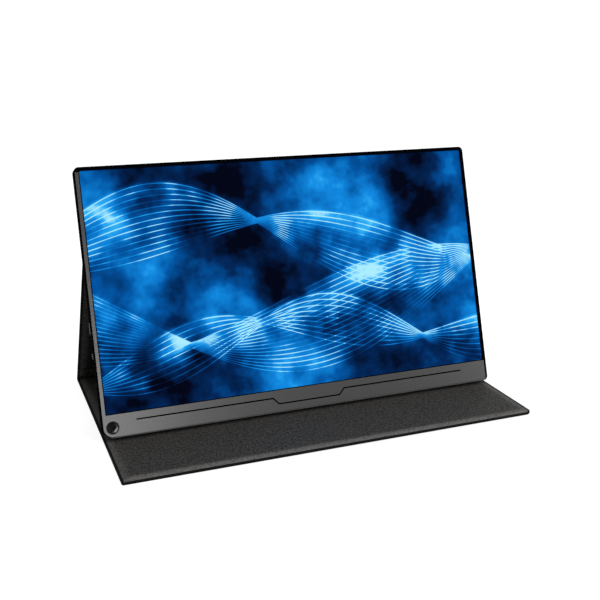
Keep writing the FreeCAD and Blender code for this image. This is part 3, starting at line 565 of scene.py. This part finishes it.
def pictureMaterial():
    material, tree, shader = startMaterial("picture")
    side, up, back = facePlace(tree)
    screen = nodePoints("lcd_glass")
    low = (screen @ faceUp).min() - faceLow
    tall = (screen @ faceUp).max() - faceLow - low
    along = calc(tree, "DIVIDE", calc(tree, "SUBTRACT", side, float(screen[:, 0].min())), float(tall))
    high = calc(tree, "DIVIDE", calc(tree, "SUBTRACT", up, float(low)), float(tall))
    flat = add(tree, "CombineXYZ", {0: along, 1: high}).outputs[0]
    broad = ease(tree, 0.32, 0.66, noise(tree, flat, picture["broad"], 2.0, 0.4))
    smoke = noise(tree, flat, picture["smoke"], 3.0, 0.55)
    smoke = spread(tree, 0.3, 0.7, smoke, *picture["smokeLight"])
    light = calc(tree, "MULTIPLY_ADD", broad, picture["broadLight"], smoke)
    for sheaf in sheaves:
        wave = calc(tree, "SINE", calc(tree, "MULTIPLY_ADD", along, sheaf["rate"], sheaf["turn"]))
        middle = calc(tree, "MULTIPLY_ADD", wave, sheaf["sway"], sheaf["level"])
        beat = calc(tree, "SINE", calc(tree, "MULTIPLY_ADD", along, sheaf["beat"], sheaf["start"]))
        half = calc(tree, "MULTIPLY_ADD", calc(tree, "ABSOLUTE", beat), sheaf["tall"], picture["waist"])
        off = calc(tree, "DIVIDE", calc(tree, "SUBTRACT", high, middle), half)
        reach = calc(tree, "ABSOLUTE", off)
        inside = ease(tree, 1.04, 0.9, reach)
        count = calc(tree, "PINGPONG", calc(tree, "MULTIPLY", off, sheaf["lines"] / 2), 0.5)
        apart = calc(tree, "MULTIPLY", count, calc(tree, "MULTIPLY", half, 2 / sheaf["lines"]))
        line = ease(tree, *picture["line"], apart)
        strength = noise(tree, flat, 3.1 + sheaf["rate"], 1.0)
        strength = calc(tree, "MULTIPLY", ease(tree, 0.25, 0.7, strength), sheaf["bright"])
        veil = calc(tree, "MULTIPLY", ease(tree, 2.2, 0.0, reach), picture["veil"])
        silk = calc(tree, "POWER", ease(tree, -1.1, 1.0, off), 3.0)
        body = calc(tree, "MULTIPLY", inside, calc(tree, "MULTIPLY_ADD", silk, picture["silk"], line))
        share = calc(tree, "MULTIPLY", calc(tree, "ADD", body, veil), strength)
        light = calc(tree, "ADD", light, share)
    ramp = add(tree, "ValToRGB", {0: light})
    stops = ramp.color_ramp.elements
    for at, colour in pictureColours.items():
        stop = stops[-1] if at == 1.0 else stops[0] if at == 0.0 else stops.new(at)
        stop.color = colour + (1.0,)
    put(tree, shader.inputs["Emission Color"], ramp.outputs["Color"])
    put(tree, shader.inputs["Emission Strength"], 1.0)
    put(tree, shader.inputs["Base Color"], grey(0.001))
    fine = noise(tree, flat, picture["fine"], 1.0)
    put(tree, shader.inputs["Roughness"], spread(tree, 0.3, 0.7, fine, 0.3, 0.4))
    put(tree, shader.inputs["Specular IOR Level"], 0.0)
    return material


steel = (0.62, 0.61, 0.59)
black = (0.012, 0.012, 0.013)
finishes = {
    bezelMaterial(): ("front_bezel",),
    rearMaterial(): ("rear_cover",),
    pictureMaterial(): ("lcd_glass",),
    mouldedMaterial("surround_glass", (0.001, 0.0015, 0.003), 0.35, level=0.0): ("screen_surround",),
    mouldedMaterial("grommet_rubber", (0.002, 0.002, 0.002), 0.6, level=0.1): ("pen_hole_grommet",),
    metalMaterial("liner_aluminium", (0.5, 0.5, 0.51), 0.3): ("pen_hole_liner",),
    mouldedMaterial("button_plastic", (0.01, 0.01, 0.011), 0.42, level=0.1): (
        "power_button", "menu_wheel"),
    mouldedMaterial("black_moulding", black, 0.5): (
        "headphone_jack", "power_switch", "wheel_switch", "speaker_left", "speaker_right"),
    metalMaterial("socket_nickel", (0.66, 0.65, 0.62), 0.25): (
        "usb_c_socket_lower", "usb_c_socket_upper", "mini_hdmi_socket"),
    metalMaterial("plated_steel", steel, 0.35): ("board_shield", "wheel_pin", "keeper_plates"),
    metalMaterial("magnet_nickel", (0.7, 0.69, 0.66), 0.22): ("flap_magnets", "attach_magnets"),
    metalMaterial("tray_aluminium", (0.72, 0.72, 0.73), 0.4): ("backlight_tray",),
    mouldedMaterial("fibre_board", (0.16, 0.13, 0.1), 0.85, 0.0015, 0.0001): (
        "flap_board_front", "flap_board_middle", "flap_board_rear", "rear_panel_board", "spine_board",
        "attach_panel_board"),
    mouldedMaterial("bond_foam", (0.02, 0.02, 0.02), 0.8): (
        "attach_bond", "speaker_gasket_left", "speaker_gasket_right"),
    mouldedMaterial("white_film", (0.82, 0.83, 0.84), 0.35): ("optical_films", "reflector"),
    mouldedMaterial("clear_acrylic", (0.75, 0.8, 0.8), 0.15): ("light_guide",),
    mouldedMaterial("amber_film", (0.42, 0.16, 0.03), 0.4): ("driver_tapes",),
    mouldedMaterial("flat_cable", (0.32, 0.2, 0.05), 0.45): ("link_cable", "display_cable"),
    boardMaterial("green_board", (0.01, 0.09, 0.04), (0.03, 0.17, 0.07)): (
        "strip_board", "main_board", "button_board"),
    boardMaterial("lamp_strip", (0.7, 0.7, 0.66), (0.85, 0.8, 0.4)): ("led_bar",),
}
for material, names in finishes.items():
    for name in names:
        nodes[name].data.materials.clear()
        nodes[name].data.materials.append(material)
print("finishes:", len(finishes), "materials on the part's own pieces")


# floor, world and lamps
ground = {
    "half": 30.0,
    "colour": 0.32,
    "pool": (0.15, -0.45, 0.0),      # where the lamps light it most, so it needs least light of its own
    "reach": (0.36, 0.58),           # and how that light grows about there
    "light": (0.64, 0.88),
}
corners = ground["half"] * np.array([(-1, -1, 0), (1, -1, 0), (1, 1, 0), (-1, 1, 0)])
floorMesh = bpy.data.meshes.new("floor")
floorMesh.from_pydata(corners.tolist(), [], [(0, 1, 2, 3)])
floor = bpy.data.objects.new("floor", floorMesh)
bpy.context.scene.collection.objects.link(floor)


def seenDirectly(tree):  # 1 for the rays that show the background, straight, mirrored or through glass
    path = add(tree, "LightPath", {}).outputs
    seen = calc(tree, "MAXIMUM", path["Is Camera Ray"], path["Is Glossy Ray"])
    return calc(tree, "MAXIMUM", seen, path["Is Transmission Ray"])


floorPaint = bpy.data.materials.new("floor_white")
floorPaint.use_nodes = True
tree = floorPaint.node_tree
tree.nodes.clear()
away = vector(tree, "DISTANCE", objectPlace(tree), ground["pool"]).outputs["Value"]
ownLight = spread(tree, *ground["reach"], away, *ground["light"])
glow = calc(tree, "MULTIPLY", ownLight, seenDirectly(tree))
matt = add(tree, "BsdfDiffuse", {"Color": grey(ground["colour"])})
lift = add(tree, "Emission", {"Color": grey(1.0), "Strength": glow})
both = add(tree, "AddShader", {0: matt.outputs[0], 1: lift.outputs[0]})
add(tree, "OutputMaterial", {"Surface": both.outputs[0]})
floorMesh.materials.append(floorPaint)

world = bpy.data.worlds.new("studio")
bpy.context.scene.world = world
world.use_nodes = True
tree = world.node_tree
tree.nodes.clear()
white = add(tree, "Background", {"Color": grey(1.0), "Strength": 1.0})
soft = add(tree, "Background", {"Color": grey(1.0), "Strength": 0.45})
shown = add(tree, "MixShader", {0: seenDirectly(tree), 1: soft.outputs[0], 2: white.outputs[0]})
add(tree, "OutputWorld", {"Surface": shown.outputs[0]})

lamps = {
    "key": {"at": (0.9, -1.0, 1.2), "size": 0.9, "power": 15.0},
    "top": {"at": (0.3, 0.4, 1.7), "size": 1.2, "power": 14.0},
    "low": {"at": (-0.05, -1.65, 0.34), "size": 0.4, "power": 8.0},
    "right": {"at": (0.97, -0.93, 0.3), "size": 0.4, "power": 2.6},
}
target = np.array([0.0, 0.0, 0.08])
for name, lamp in lamps.items():
    light = bpy.data.lights.new(name, "AREA")
    light.energy = lamp["power"]
    light.size = lamp["size"]
    lampObject = bpy.data.objects.new(name, light)
    toward = target - np.array(lamp["at"])
    lampObject.location = lamp["at"]
    yaw = math.atan2(toward[1], toward[0])
    dip = math.atan2(-toward[2], math.hypot(toward[0], toward[1]))
    lampObject.rotation_euler = (math.pi / 2 - dip, 0.0, yaw - math.pi / 2)
    bpy.context.scene.collection.objects.link(lampObject)
print("stage: floor, world and", len(lamps), "lamps")

# camera: solved from the straight edges of the photograph
view = {"at": (-0.2724, -0.7087, 0.3202), "yaw": 21.348, "pitch": 16.89, "roll": -0.049, "lens": 55.085}
camera = bpy.data.cameras.new("camera")
camera.lens = view["lens"]
camera.sensor_width = 36.0
camera.clip_start = 0.01
cameraObject = bpy.data.objects.new("camera", camera)
cameraObject.location = view["at"]
cameraObject.rotation_euler = np.radians((90 - view["pitch"], view["roll"], -view["yaw"]))
bpy.context.scene.collection.objects.link(cameraObject)
bpy.context.scene.camera = cameraObject
bpy.context.scene.view_settings.view_transform = "Standard"
print("camera set")
